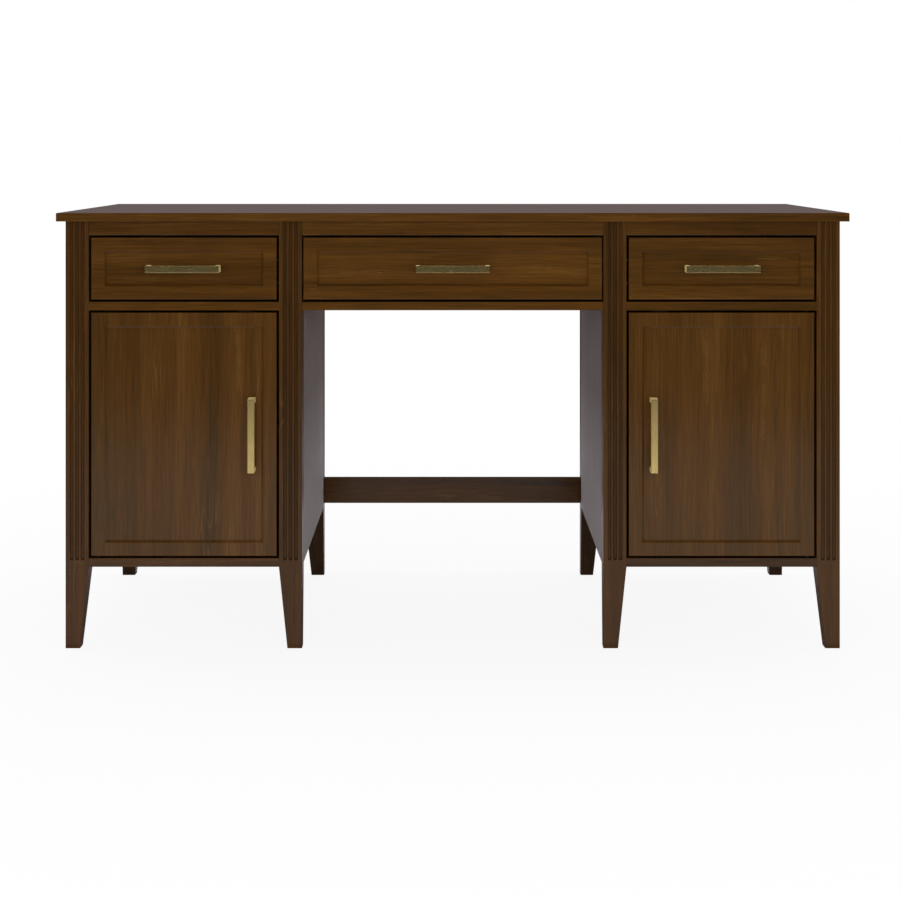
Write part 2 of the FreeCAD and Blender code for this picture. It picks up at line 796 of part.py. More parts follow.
# Build, test and write the pieces

def test_document():
    for item in document.Objects:
        if "Invalid" in item.State or "Error" in item.State:
            raise RuntimeError(f"{item.Label} failed: {item.State}")
    for piece in pieces:
        if piece.Shape.isNull() or not piece.Shape.isValid():
            raise RuntimeError(f"{piece.Label} has no valid shape")


def write_pieces():
    os.makedirs("parts", exist_ok=True)
    for piece in pieces:
        piece.Shape.exportStep(f"parts/{piece.Label}.step")
    print(len(pieces), "nodes,", sum(len(piece.Shape.Solids) for piece in pieces), "solids")


make_desktop()
make_legs()
make_pedestals()
make_kneehole_frame()
make_glue_blocks()
make_drawers()
make_doors()
document.recompute()
test_document()
write_pieces()
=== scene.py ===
import bpy
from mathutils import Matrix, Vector


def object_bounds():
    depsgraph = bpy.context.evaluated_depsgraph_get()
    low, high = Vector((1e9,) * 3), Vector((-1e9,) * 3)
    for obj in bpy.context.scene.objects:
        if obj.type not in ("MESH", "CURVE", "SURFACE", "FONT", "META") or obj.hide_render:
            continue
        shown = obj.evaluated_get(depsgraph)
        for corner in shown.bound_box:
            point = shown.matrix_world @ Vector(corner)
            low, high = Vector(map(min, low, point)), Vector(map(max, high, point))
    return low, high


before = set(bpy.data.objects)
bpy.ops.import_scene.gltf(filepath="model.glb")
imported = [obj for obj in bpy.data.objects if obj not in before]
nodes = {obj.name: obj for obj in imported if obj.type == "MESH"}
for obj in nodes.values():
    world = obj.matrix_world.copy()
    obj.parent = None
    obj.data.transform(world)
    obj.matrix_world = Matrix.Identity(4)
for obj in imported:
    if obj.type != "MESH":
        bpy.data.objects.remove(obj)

# Looks of a twin-pedestal office desk. Metres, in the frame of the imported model.
cad_low, cad_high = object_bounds()
scene = bpy.context.scene
scene.view_settings.view_transform = "Standard"

SIDES = ("left", "right")
COLUMNS = ("inner", "outer")
DRAWERS = ("left", "centre", "right")
MILLIMETRE = 0.001
QUARTER_TURN = 1.5707963


# Colours

WHITE = (1.0, 1.0, 1.0, 1.0)


def colour(red, green, blue):
    """A colour given in display values from 0 to 255, as the linear values that shaders take."""
    def linear(value):
        share = value / 255
        return share / 12.92 if share <= 0.04045 else ((share + 0.055) / 1.055) ** 2.4
    return (linear(red), linear(green), linear(blue), 1.0)


# Small helpers for node trees

def add(tree, kind, **settings):
    """A new node with its own settings."""
    item = tree.nodes.new(kind)
    for name, value in settings.items():
        setattr(item, name, value)
    return item


def put(tree, item, socket, value):
    """Feed an input socket with a constant or with another node's output."""
    target = item.inputs[socket]
    if isinstance(value, bpy.types.NodeSocket):
        tree.links.new(value, target)
    else:
        target.default_value = value


def calculate(tree, operation, first, second=0.0, clamp=False):
    item = add(tree, "ShaderNodeMath", operation=operation, use_clamp=clamp)
    put(tree, item, 0, first)
    put(tree, item, 1, second)
    return item.outputs[0]


def plus(tree, first, second):
    return calculate(tree, "ADD", first, second)


def times(tree, first, second):
    return calculate(tree, "MULTIPLY", first, second)


def combine(tree, operation, first, second):
    item = add(tree, "ShaderNodeVectorMath", operation=operation)
    put(tree, item, 0, first)
    put(tree, item, 1, second)
    return item.outputs["Value" if operation == "DOT_PRODUCT" else "Vector"]


def parts(tree, vector):
    """The X, Y and Z parts of a vector, by name."""
    item = add(tree, "ShaderNodeSeparateXYZ")
    put(tree, item, 0, vector)
    return item.outputs


def object_place(tree):
    return add(tree, "ShaderNodeTexCoord").outputs["Object"]


def face_normal(tree):
    return add(tree, "ShaderNodeNewGeometry").outputs["Normal"]


def world_place(tree):
    return add(tree, "ShaderNodeNewGeometry").outputs["Position"]


def mapped(tree, vector, move=(0, 0, 0), turn=(0, 0, 0), scale=(1, 1, 1)):
    item = add(tree, "ShaderNodeMapping")
    put(tree, item, "Vector", vector)
    put(tree, item, "Location", move)
    put(tree, item, "Rotation", turn)
    put(tree, item, "Scale", scale)
    return item.outputs[0]


def noise(tree, vector, scale, detail=2.0, roughness=0.5, output="Fac"):
    item = add(tree, "ShaderNodeTexNoise")
    put(tree, item, "Vector", vector)
    put(tree, item, "Scale", scale)
    put(tree, item, "Detail", detail)
    put(tree, item, "Roughness", roughness)
    return item.outputs[output]


def wander(tree, place, source, scale, reach):
    """A place that is moved to and fro by a noise, by up to half of reach along each axis."""
    shift = noise(tree, source, scale, 1.0, output="Color")
    shift = combine(tree, "SUBTRACT", shift, (0.5, 0.5, 0.5))
    return combine(tree, "ADD", place, combine(tree, "MULTIPLY", shift, reach))


def ramp(tree, factor, stops):
    """A colour ramp through stops of (place, colour)."""
    item = add(tree, "ShaderNodeValToRGB")
    elements = item.color_ramp.elements
    while len(elements) < len(stops):
        elements.new(1.0)
    for element, (place, tint) in zip(elements, stops):
        element.position = place
        element.color = tint
    put(tree, item, "Fac", factor)
    return item.outputs["Color"]


def spread(tree, value, low, high, out_low=0.0, out_high=1.0):
    """Stretch a range of values onto another range, clamped."""
    item = add(tree, "ShaderNodeMapRange")
    for socket, number in zip(("Value", "From Min", "From Max", "To Min", "To Max"),
                              (value, low, high, out_low, out_high)):
        put(tree, item, socket, number)
    return item.outputs[0]


def rings(tree, value, count):
    """A value that goes from 0 to 0.5 and back, so many times for each 1 of the value given."""
    return calculate(tree, "PINGPONG", times(tree, value, count), 0.5)


def mixed(tree, factor, first, second, blend="MIX"):
    item = add(tree, "ShaderNodeMix", data_type="RGBA", blend_type=blend)
    put(tree, item, "Factor", factor)
    put(tree, item, 6, first)
    put(tree, item, 7, second)
    return item.outputs[2]


def bump(tree, height, distance):
    item = add(tree, "ShaderNodeBump")
    put(tree, item, "Height", height)
    put(tree, item, "Distance", distance)
    return item.outputs[0]


EDGE_SAMPLES = 4
EDGE_AGREEMENT = (0.985, 0.85)
# Painted shade in grooves: its samples, the openness it darkens, and how it fades on slopes that face the
# floor
GROOVE_SHADE_SAMPLES = 8
GROOVE_SHADE_OPENNESS = (0.95, 0.35)
GROOVE_SHADE_FACING = (-0.6, -0.2, 0.3, 1.0)


def edge_mask(tree, radius):
    """1 on sharp edges, 0 on flat faces, from how far a rounded normal leaves the true one."""
    rounded = add(tree, "ShaderNodeBevel", samples=EDGE_SAMPLES)
    put(tree, rounded, "Radius", radius)
    agreement = combine(tree, "DOT_PRODUCT", rounded.outputs["Normal"], face_normal(tree))
    return spread(tree, agreement, *EDGE_AGREEMENT)


def groove_mask(tree, reach):
    """1 deep in a groove of the piece itself, where shade is painted, 0 on open faces."""
    item = add(tree, "ShaderNodeAmbientOcclusion", samples=GROOVE_SHADE_SAMPLES, only_local=True)
    put(tree, item, "Distance", reach)
    return spread(tree, item.outputs["AO"], *GROOVE_SHADE_OPENNESS)


def groove_shade_facing(tree):
    """1 where painted shade darkens a groove, less on slopes that face the floor, which stay lighter as
    painted light.
    """
    return spread(tree, parts(tree, face_normal(tree))["Z"], *GROOVE_SHADE_FACING)


def faces_sideways(tree):
    """1 on faces that look to the left or to the right, 0 on the front, the back and the top."""
    return calculate(tree, "ABSOLUTE", parts(tree, face_normal(tree))["X"])


def new_group(name, inputs, outputs):
    """An empty node group with sockets given as (name, type)."""
    tree = bpy.data.node_groups.new(name, "ShaderNodeTree")
    for direction, sockets in (("INPUT", inputs), ("OUTPUT", outputs)):
        for socket, kind in sockets:
            tree.interface.new_socket(name=socket, in_out=direction, socket_type=kind)
    return tree, tree.nodes.new("NodeGroupInput"), tree.nodes.new("NodeGroupOutput")


def new_material(name):
    material = bpy.data.materials.new(name)
    material.use_nodes = True
    return material, material.node_tree, material.node_tree.nodes["Principled BSDF"]


# Stained wood

GRAIN_INPUTS = ("Tone", "Saturation", "Contrast", "Clouds", "Flame")
GRAIN_MIDDLE = 0.51
SWAY_SCALE = 5.0
SWAY_LENGTH = 0.25
SWAY_REACH = (12 * MILLIMETRE, 12 * MILLIMETRE, 0)

# Layers of the grain: shift, stretch along the grain, then scale, detail and roughness of the noise
GRAIN_LAYERS = {
    "bands": ((0, 0, 0), 0.022, 24.0, 2.0, 0.45),
    "strips": ((6, 3, 8), 0.018, 17.0, 1.0, 0.5),
    "streaks": ((3, 1, 2), 0.022, 110.0, 2.0, 0.55),
    "lines": ((7, 5, 4), 0.02, 380.0, 2.0, 0.6),
    "fibres": ((1, 4, 3), 0.02, 950.0, 1.0, 0.5),
    "clouds": ((8, 3, 6), 0.2, 14.0, 2.0, 0.5),
    "drift": ((9, 6, 1), 0.03, 26.0, 2.0, 0.5),
    "contours": ((2, 8, 5), 0.12, 40.0, 1.0, 0.4),
    "figure": ((4, 4, 9), 0.2, 20.0, 1.0, 0.5),
    "dashes": ((5, 2, 7), 0.035, 1150.0, 1.0, 0.5),
}
# What each layer adds to the tone of the wood
TONE_SHARES = {"bands": 0.30, "strips": 0.16, "streaks": 0.12, "lines": 0.22, "fibres": 0.20}
# Ranges of a layer, and the range that each is stretched onto
STRIP_STEP = (0.53, 0.59, 0.56, 0.44)
RED_DRIFT = (0.5, 0.7, 0.0, 0.28)
OLIVE_DRIFT = (0.5, 0.3, 0.0, 0.4)
RING_LINE = (0.30, 0.5)
FIGURE_STEP = (0.62, 0.72)
PORE_STEP = (0.36, 0.24)
RUBBED_STEP = (0.35, 0.65, 0.25, 1.0)

RING_COUNT = 13.0
RING_STRENGTH = 0.45
PORE_STRENGTH = 0.40
RUBBED_SCALE = 42.0
# Rubbed edges are lightened partly as wear and partly as a painted edge highlight
WEAR_AND_HIGHLIGHT_RADIUS = 1.6 * MILLIMETRE
WEAR_AND_HIGHLIGHT_STRENGTH = 0.20
# Reach and strength of the painted shade in grooves
GROOVE_SHADE_REACH = 7.0 * MILLIMETRE
GROOVE_SHADE_STRENGTH = 0.75
LINE_GLOSS = 0.08
PORE_GLOSS = 0.10
BAND_GLOSS = 0.06
LINE_RELIEF = 0.45


def grain_layers(tree, place):
    """The noises of the grain by name, all stretched along Z and swaying together."""
    grain = wander(tree, place, mapped(tree, place, scale=(1, 1, SWAY_LENGTH)), SWAY_SCALE, SWAY_REACH)
    layers = {}
    for name, (shift, stretch, scale, detail, roughness) in GRAIN_LAYERS.items():
        stretched = mapped(tree, grain, move=shift, scale=(1, 1, stretch))
        layers[name] = noise(tree, stretched, scale, detail, roughness)
    layers["strips"] = spread(tree, layers["strips"], *STRIP_STEP)
    return layers


def grain_colour(tree, layers, source, tones, tints):
    """The colour of the boards before pores and wear: tone by layers, drifting tints and pale flames."""
    value = 0.0
    for name, share in TONE_SHARES.items():
        value = plus(tree, value, times(tree, layers[name], share))
    value = times(tree, calculate(tree, "SUBTRACT", value, GRAIN_MIDDLE), source.outputs["Contrast"])
    clouds = calculate(tree, "SUBTRACT", layers["clouds"], 0.5)
    value = plus(tree, value, times(tree, clouds, source.outputs["Clouds"]))
    base = ramp(tree, plus(tree, value, GRAIN_MIDDLE), tones)
    base = mixed(tree, spread(tree, layers["drift"], *RED_DRIFT), base, tints["red"], "MULTIPLY")
    base = mixed(tree, spread(tree, layers["drift"], *OLIVE_DRIFT), base, tints["olive"], "MULTIPLY")
    lines = spread(tree, rings(tree, layers["contours"], RING_COUNT), *RING_LINE)
    flames = times(tree, lines, spread(tree, layers["figure"], *FIGURE_STEP))
    flames = calculate(tree, "MAXIMUM", times(tree, flames, RING_STRENGTH), source.outputs["Flame"])
    return mixed(tree, flames, base, tints["flame"])


def worn_highlighted_and_shaded_colour(tree, place, base, tints):
    """The colour with lighter rubbed edges, partly wear and partly a painted edge highlight, and with painted
    shade in the grooves.
    """
    rubbed = spread(tree, noise(tree, place, RUBBED_SCALE, 3.0, 0.6), *RUBBED_STEP)
    # Rubbed edges lighten: partly wear, partly a painted edge highlight
    wear_and_highlight = times(tree, edge_mask(tree, WEAR_AND_HIGHLIGHT_RADIUS), rubbed)
    base = mixed(tree, times(tree, wear_and_highlight, WEAR_AND_HIGHLIGHT_STRENGTH), base, tints["worn"])
    # Painted shade: the piece's grooves darken, less so on slopes that face the floor
    grooves = times(tree, groove_mask(tree, GROOVE_SHADE_REACH), groove_shade_facing(tree))
    return mixed(tree, times(tree, grooves, GROOVE_SHADE_STRENGTH), base, tints["groove"], "MULTIPLY")


def make_grain_group(name, tones, tints):
    """Grain that runs along Z: broad bands, streaks, fibres, flames and pores, with lighter rubbed edges,
    partly wear and partly a painted edge highlight, and painted shade in grooves.
    """
    inputs = [("Vector", "NodeSocketVector")]
    inputs += [(socket, "NodeSocketFloat") for socket in GRAIN_INPUTS]
    outputs = [("Color", "NodeSocketColor")]
    outputs += [(socket, "NodeSocketFloat") for socket in ("Roughness", "Height")]
    tree, source, result = new_group(name, inputs, outputs)
    place = source.outputs["Vector"]
    layers = grain_layers(tree, place)
    pores = spread(tree, layers["dashes"], *PORE_STEP)

    base = grain_colour(tree, layers, source, tones, tints)
    base = mixed(tree, times(tree, pores, PORE_STRENGTH), base, tints["pore"], "MULTIPLY")
    shade = add(tree, "ShaderNodeHueSaturation")
    put(tree, shade, "Saturation", source.outputs["Saturation"])
    put(tree, shade, "Value", source.outputs["Tone"])
    put(tree, shade, "Color", worn_highlighted_and_shaded_colour(tree, place, base, tints))
    put(tree, result, "Color", shade.outputs["Color"])

    gloss = plus(tree, times(tree, layers["lines"], LINE_GLOSS), times(tree, pores, PORE_GLOSS))
    put(tree, result, "Roughness", plus(tree, gloss, times(tree, layers["bands"], BAND_GLOSS)))
    relief = times(tree, layers["lines"], LINE_RELIEF)
    put(tree, result, "Height", calculate(tree, "SUBTRACT", relief, pores))
    return tree


WALNUT_TONES = [
    (0.34, colour(50, 34, 11)),
    (0.44, colour(70, 46, 16)),
    (0.51, colour(82, 52, 18)),
    (0.58, colour(92, 60, 22)),
    (0.68, colour(113, 77, 33)),
]
WALNUT_TINTS = {
    "red": (1.0, 0.93, 0.88, 1.0),
    "olive": (0.90, 0.98, 1.0, 1.0),
    "flame": colour(112, 80, 40),
    "pore": (0.45, 0.42, 0.40, 1.0),
    # The lighter colour of rubbed edges: partly wear, partly a painted edge highlight
    "worn": colour(106, 73, 34),
    # The colour that multiplies in the painted shade of grooves
    "groove": (0.30, 0.26, 0.20, 1.0),
}
BIRCH_TONES = [
    (0.30, colour(168, 133, 92)),
    (0.50, colour(198, 165, 122)),
    (0.72, colour(221, 193, 152)),
]
BIRCH_TINTS = {
    "red": (1.0, 0.96, 0.90, 1.0),
    "olive": (0.97, 1.0, 1.0, 1.0),
    "flame": colour(176, 138, 92),
    "pore": (0.80, 0.74, 0.66, 1.0),
    # The lighter colour of rubbed edges: partly wear, partly a painted edge highlight
    "worn": colour(214, 186, 146),
    # The colour that multiplies in the painted shade of grooves
    "groove": (0.62, 0.55, 0.46, 1.0),
}
walnut_grain = make_grain_group("walnut_grain", WALNUT_TONES, WALNUT_TINTS)
birch_grain = make_grain_group("birch_grain", BIRCH_TONES, BIRCH_TINTS)

GRAIN_TURNS = {"x": (0, -QUARTER_TURN, 0), "y": (QUARTER_TURN, 0, 0), "z": (0, 0, 0)}
BOARD_STEP = (0.173, 0.297, 0.411)
VARNISH_TINT = (0.80, 0.86, 1.0, 1.0)
DOOR_TINT = (0.70, 0.86, 0.90, 1.0)
SHEEN_TINT = (0.94, 0.92, 1.0, 1.0)
SHEEN_ROUGHNESS = 0.4

# A finish is a grain, how clear it is, how dull and how mirroring its varnish is, and its sheen low and high.
# The value sides tells how much duller the faces are that look to the left or to the right.
WALNUT = {
    "group": walnut_grain, "saturation": 1.0, "contrast": 1.0, "clouds": 0.03, "relief": 0.03 * MILLIMETRE,
    "roughness": 0.11, "sides": 0.0, "specular": 0.24, "varnish": VARNISH_TINT, "sheen": None,
}
DOOR_WALNUT = WALNUT | {"varnish": DOOR_TINT}
LEVEL_WALNUT = WALNUT | {"saturation": 1.026, "contrast": 1.2, "clouds": 0.14}
# The side panels' sheen is painted light: 0.31 near the floor, 0.15 higher up
SATIN_WALNUT = WALNUT | {"roughness": 0.75, "specular": 0.17, "sheen": (0.31, 0.15)}
LEG_WALNUT = WALNUT | {"roughness": 0.17, "sides": 0.30, "saturation": 1.02}
# Painted shade: the rear legs, in the desk's shade, are duller in colour as well as darker
SHADED_REAR_WALNUT = LEG_WALNUT | {"saturation": 0.86}
BIRCH = WALNUT | {
    "group": birch_grain, "clouds": 0.06, "relief": 0.05 * MILLIMETRE, "roughness": 0.40, "specular": 0.30,
}

# Painted shading, lighter above and darker below: half of the tone's factor at shares of a drawer front's
# height
PAINTED_PANEL_SHADING = ((0.19, 0.5), (0.24, 0.46), (0.75, 0.56), (0.80, 0.5))
# Heights between which the side panels' sheen changes: painted light, stronger near the floor and weaker
# above
PAINTED_SHEEN_HEIGHTS = (0.26, 0.43)

FLAME_SCALE = 90.0
FLAME_REACH = (6 * MILLIMETRE, 6 * MILLIMETRE, 6 * MILLIMETRE)
FLAME_BOW = 1.6
FLAME_COUNT = 1.6
FLAME_LINE = (0.22, 0.46)
FLAME_END = (1.35, 0.5)
FLAME_STRENGTH = 0.55


def painted_panel_shading(tree, place, low, high):
    """Painted shading on a drawer's sunk panel: lighter above and darker below, even on the border around it.
    """
    share = spread(tree, parts(tree, place)["Z"], low, high)
    shade = ramp(tree, share, [(stop, (level, level, level, 1.0)) for stop, level in PAINTED_PANEL_SHADING])
    return times(tree, shade, 2.0)


def painted_light_sheen(tree, place, weights):
    """The sheen of a side panel as painted light, stronger near the floor and weaker above."""
    return spread(tree, parts(tree, place)["Z"], *PAINTED_SHEEN_HEIGHTS, *weights)


def flame_lines(tree, place, axis, spots):
    """Nested pointed eyes of pale grain, each at a place (x, z) with its half width and half length."""
    moved = wander(tree, place, place, FLAME_SCALE, FLAME_REACH)
    along, across = ("X", "Z") if axis == "x" else ("Z", "X")
    total = 0.0
    for x, z, half_width, half_length in spots:
        size = (half_length, 1.0, half_width) if axis == "x" else (half_width, 1.0, half_length)
        local = combine(tree, "DIVIDE", combine(tree, "SUBTRACT", moved, (x, 0.0, z)), size)
        away = parts(tree, combine(tree, "ABSOLUTE", local, (0.0, 0.0, 0.0)))
        reach = plus(tree, away[across], calculate(tree, "POWER", away[along], FLAME_BOW))
        lines = spread(tree, rings(tree, reach, FLAME_COUNT), *FLAME_LINE)
        total = calculate(tree, "MAXIMUM", times(tree, lines, spread(tree, reach, *FLAME_END)), total)
    return times(tree, total, FLAME_STRENGTH)


def wood(name, finish, axis, board, tone, panel=None, spots=()):
    """A board's own material: its grain runs along one axis and comes from its own part of the tree."""
    material, tree, shader = new_material(name)
    place = object_place(tree)
    away = tuple(board * step for step in BOARD_STEP)
    grain = add(tree, "ShaderNodeGroup", node_tree=finish["group"])
    put(tree, grain, "Vector", mapped(tree, place, move=away, turn=GRAIN_TURNS[axis]))
    # A drawer front gets painted shading, lighter above and darker below
    if panel:
        tone = times(tree, painted_panel_shading(tree, place, *panel), tone)
    if spots:
        put(tree, grain, "Flame", flame_lines(tree, place, axis, spots))
    put(tree, grain, "Tone", tone)
    put(tree, grain, "Saturation", finish["saturation"])
    put(tree, grain, "Contrast", finish["contrast"])
    put(tree, grain, "Clouds", finish["clouds"])
    put(tree, shader, "Base Color", grain.outputs["Color"])
    dull = plus(tree, grain.outputs["Roughness"], finish["roughness"])
    if finish["sides"]:
        dull = plus(tree, dull, times(tree, faces_sideways(tree), finish["sides"]))
    put(tree, shader, "Roughness", dull)
    put(tree, shader, "Normal", bump(tree, grain.outputs["Height"], finish["relief"]))
    put(tree, shader, "Specular IOR Level", finish["specular"])
    put(tree, shader, "Specular Tint", finish["varnish"])
    # Painted light: the side panels' sheen is stronger near the floor
    if finish["sheen"]:
        put(tree, shader, "Sheen Weight", painted_light_sheen(tree, place, finish["sheen"]))
    put(tree, shader, "Sheen Roughness", SHEEN_ROUGHNESS)
    put(tree, shader, "Sheen Tint", SHEEN_TINT)
    return material


# Metals and plastics

BRUSH_SCALE = 3200.0
BRUSH_LENGTH = 0.01
BRUSH_RELIEF = 0.0005 * MILLIMETRE
BRUSH_STAIN = (0.3, 0.7, 0.0, 0.15)
BRUSH_GLOSS = 0.05
TARNISH_SCALE = 45.0
TARNISH_STEP = (0.35, 0.75, 0.0, 0.25)
TARNISH_GLOSS = 0.10
# Edges bare of tarnish: partly wear, partly a painted edge highlight
BARE_AND_HIGHLIGHT_RADIUS = 0.6 * MILLIMETRE
BARE_AND_HIGHLIGHT_STRENGTH = 0.25
METAL_SHEEN_ROUGHNESS = 0.5
SKIN_SCALE = 2600.0
SKIN_RANGE = (0.3, 0.7)
SKIN_RELIEF = 0.05 * MILLIMETRE
SKIN_GLOSSIER = 0.06
SKIN_DULLER = 0.08
PLASTIC_SCALE = 90.0
PLASTIC_STEP = (0.35, 0.7)


def brushed_metal(name, base, tarnish, axis, roughness, sheen=0.0):
    """Metal brushed along one axis, with a thin uneven tarnish, rubbed edges that lose the tarnish, partly as
    wear and partly as a painted edge highlight, and a soft glow at its rim.
    """
    material, tree, shader = new_material(name)
    place = mapped(tree, object_place(tree), turn=GRAIN_TURNS[axis])
    lines = noise(tree, mapped(tree, place, scale=(1, 1, BRUSH_LENGTH)), BRUSH_SCALE, 2.0, 0.6)
    stain = spread(tree, noise(tree, place, TARNISH_SCALE), *TARNISH_STEP)
    # Edges lose the tarnish: partly wear, partly a painted edge highlight
    bare_and_highlight = times(tree, edge_mask(tree, BARE_AND_HIGHLIGHT_RADIUS), BARE_AND_HIGHLIGHT_STRENGTH)
    stain = calculate(tree, "SUBTRACT", stain, bare_and_highlight, True)
    tint = mixed(tree, stain, base, tarnish)
    tint = mixed(tree, spread(tree, lines, *BRUSH_STAIN), tint, tarnish)
    put(tree, shader, "Base Color", tint)
    put(tree, shader, "Metallic", 1.0)
    put(tree, shader, "Sheen Weight", sheen)
    put(tree, shader, "Sheen Roughness", METAL_SHEEN_ROUGHNESS)
    put(tree, shader, "Sheen Tint", tuple(part / max(base[:3]) for part in base[:3]) + (1.0,))
    dull = plus(tree, times(tree, lines, BRUSH_GLOSS), times(tree, stain, TARNISH_GLOSS))
    put(tree, shader, "Roughness", plus(tree, dull, roughness))
    put(tree, shader, "Normal", bump(tree, lines, BRUSH_RELIEF))
    return material


def moulded_plastic(name, base, worn, roughness):
    """Moulded plastic with a fine eroded skin."""
    material, tree, shader = new_material(name)
    place = object_place(tree)
    skin = noise(tree, place, SKIN_SCALE, 2.0, 0.6)
    clouds = noise(tree, place, PLASTIC_SCALE, 3.0)
    put(tree, shader, "Base Color", mixed(tree, spread(tree, clouds, *PLASTIC_STEP), base, worn))
    limits = (roughness - SKIN_GLOSSIER, roughness + SKIN_DULLER)
    put(tree, shader, "Roughness", spread(tree, skin, *SKIN_RANGE, *limits))
    put(tree, shader, "Normal", bump(tree, skin, SKIN_RELIEF))
    return material


# Grain direction and tone of the boards

WALNUT_AXES = {
    "desktop": "x", "pedestal_top_rails": "x", "centre_top_rail": "x", "centre_drawer_rail": "x",
    "rear_apron": "x", "rear_stretcher": "x", "cupboard_shelves": "x", "pedestal_back_panels": "z",
}
BIRCH_AXES = {"runner_spacers": "y", "glue_blocks": "x"}
# The rear stretcher's low tone is painted shade, as it stands in the desk's shade
WALNUT_TONE = {
    "desktop": 0.85, "pedestal_top_rails": 0.70, "centre_top_rail": 0.73, "rear_stretcher": 0.75,
    "pedestal_back_panels": 0.82, "rear_apron": 0.85,
    "left_drawer_front": 0.775, "centre_drawer_front": 0.93, "right_drawer_front": 0.87,
    "left_door": 0.89, "right_door": 0.915,
}
DIVIDER_TONE = 0.87
BOTTOM_TONE = 0.70
FRONT_LEG_TONE = 0.77
# Painted shade: the rear legs are darker, as they stand in the desk's shade
REAR_LEG_SHADE_TONE = 0.47
SIDE_PANEL_TONE = 0.85
for name in DRAWERS:
    WALNUT_AXES[f"{name}_drawer_front"] = "x"
    BIRCH_AXES[f"{name}_drawer_sides"] = "y"
    BIRCH_AXES[f"{name}_drawer_back"] = "x"
    BIRCH_AXES[f"{name}_drawer_bottom"] = "x"
for side in SIDES:
    WALNUT_AXES[f"{side}_door"] = "z"
    WALNUT_AXES[f"{side}_bottom_panel"] = "x"
    WALNUT_TONE[f"{side}_bottom_panel"] = BOTTOM_TONE
    WALNUT_AXES[f"{side}_divider_panel"] = "x"
    WALNUT_TONE[f"{side}_divider_panel"] = DIVIDER_TONE
    for column in COLUMNS:
        WALNUT_AXES[f"{side}_{column}_side_panel"] = "z"
        WALNUT_TONE[f"{side}_{column}_side_panel"] = SIDE_PANEL_TONE
        for row, tone in (("front", FRONT_LEG_TONE), ("rear", REAR_LEG_SHADE_TONE)):
            WALNUT_AXES[f"{side}_{column}_{row}_leg"] = "z"
            WALNUT_TONE[f"{side}_{column}_{row}_leg"] = tone

WALNUT_FINISHES = {
    "_door": DOOR_WALNUT,
    "_side_panel": SATIN_WALNUT,
    "_front_leg": LEG_WALNUT,
    "_rear_leg": SHADED_REAR_WALNUT,
}
TONE_STEPS = (1.0, 0.97, 1.02, 0.98, 1.03, 0.96, 1.01)
BOARD_SHIFT = {"left_drawer_front": 0.15}

# Pale figures in the fronts: x and z of the middle, half width and half length
FLAMES = {
    "left_door": [
        (-0.380, 0.545, 0.005, 0.022), (-0.380, 0.512, 0.005, 0.020), (-0.380, 0.476, 0.005, 0.026),
        (-0.391, 0.206, 0.006, 0.020),
    ],
    "right_door": [
        (0.450, 0.530, 0.006, 0.030), (0.450, 0.470, 0.006, 0.036), (0.519, 0.507, 0.005, 0.020),
        (0.585, 0.560, 0.005, 0.026), (0.551, 0.515, 0.006, 0.030), (0.551, 0.452, 0.006, 0.034),
        (0.551, 0.392, 0.005, 0.026),
    ],
    "left_drawer_front": [(-0.545, 0.655, 0.005, 0.040)],
    "centre_drawer_front": [
        (-0.185, 0.665, 0.005, 0.024), (-0.143, 0.666, 0.006, 0.034), (0.155, 0.674, 0.006, 0.046),
    ],
    "right_drawer_front": [(0.560, 0.690, 0.005, 0.036)],
}


# Finish of every piece

def dress(name, material):
    nodes[name].data.materials.clear()
    nodes[name].data.materials.append(material)


def walnut_finish(name, axis):
    for ending, finish in WALNUT_FINISHES.items():
        if name.endswith(ending):
            return finish
    return LEVEL_WALNUT if axis == "x" else WALNUT


def painted_shading_limits(name):
    """The lowest and the highest place of a drawer front, between which its painted shading runs, and nothing
    for other boards.
    """
    if not name.endswith("_drawer_front"):
        return None
    levels = [corner[2] for corner in nodes[name].bound_box]
    return (min(levels), max(levels))


for number, (name, axis) in enumerate(sorted(WALNUT_AXES.items())):
    tone = TONE_STEPS[number % len(TONE_STEPS)] * WALNUT_TONE.get(name, 1.0)
    board = number + BOARD_SHIFT.get(name, 0.0)
    finish = walnut_finish(name, axis)
    dress(name, wood(f"walnut_{name}", finish, axis, board, tone, painted_shading_limits(name), FLAMES.get(name, ())))
for number, (name, axis) in enumerate(sorted(BIRCH_AXES.items())):
    dress(name, wood(f"birch_{name}", BIRCH, axis, number, TONE_STEPS[number % len(TONE_STEPS)]))

BRASS = colour(219, 195, 130)
BRASS_TARNISH = colour(186, 157, 96)
level_brass = brushed_metal("brass_level", BRASS, BRASS_TARNISH, "x", roughness=0.23, sheen=1.0)
upright_brass = brushed_metal("brass_upright", BRASS, BRASS_TARNISH, "z", roughness=0.20, sheen=0.9)
dark_brass = brushed_metal("brass_dark", colour(38, 31, 21), colour(24, 20, 14), "z", roughness=0.40)
zinc = brushed_metal("zinc_runner", colour(150, 152, 156), colour(115, 117, 121), "y", roughness=0.30)
plated = brushed_metal("plated_screw", colour(205, 203, 198), colour(172, 168, 160), "y", roughness=0.24)
black_plastic = moulded_plastic("glide_plastic", colour(26, 23, 21), colour(40, 36, 33), roughness=0.50)
# Painted shade: the door catches are near black, so that they read as the shade of the gap above the doors
catch_plastic_dark_as_shade = moulded_plastic("catch_plastic", colour(27, 20, 14), colour(36, 27, 19), roughness=0.46)

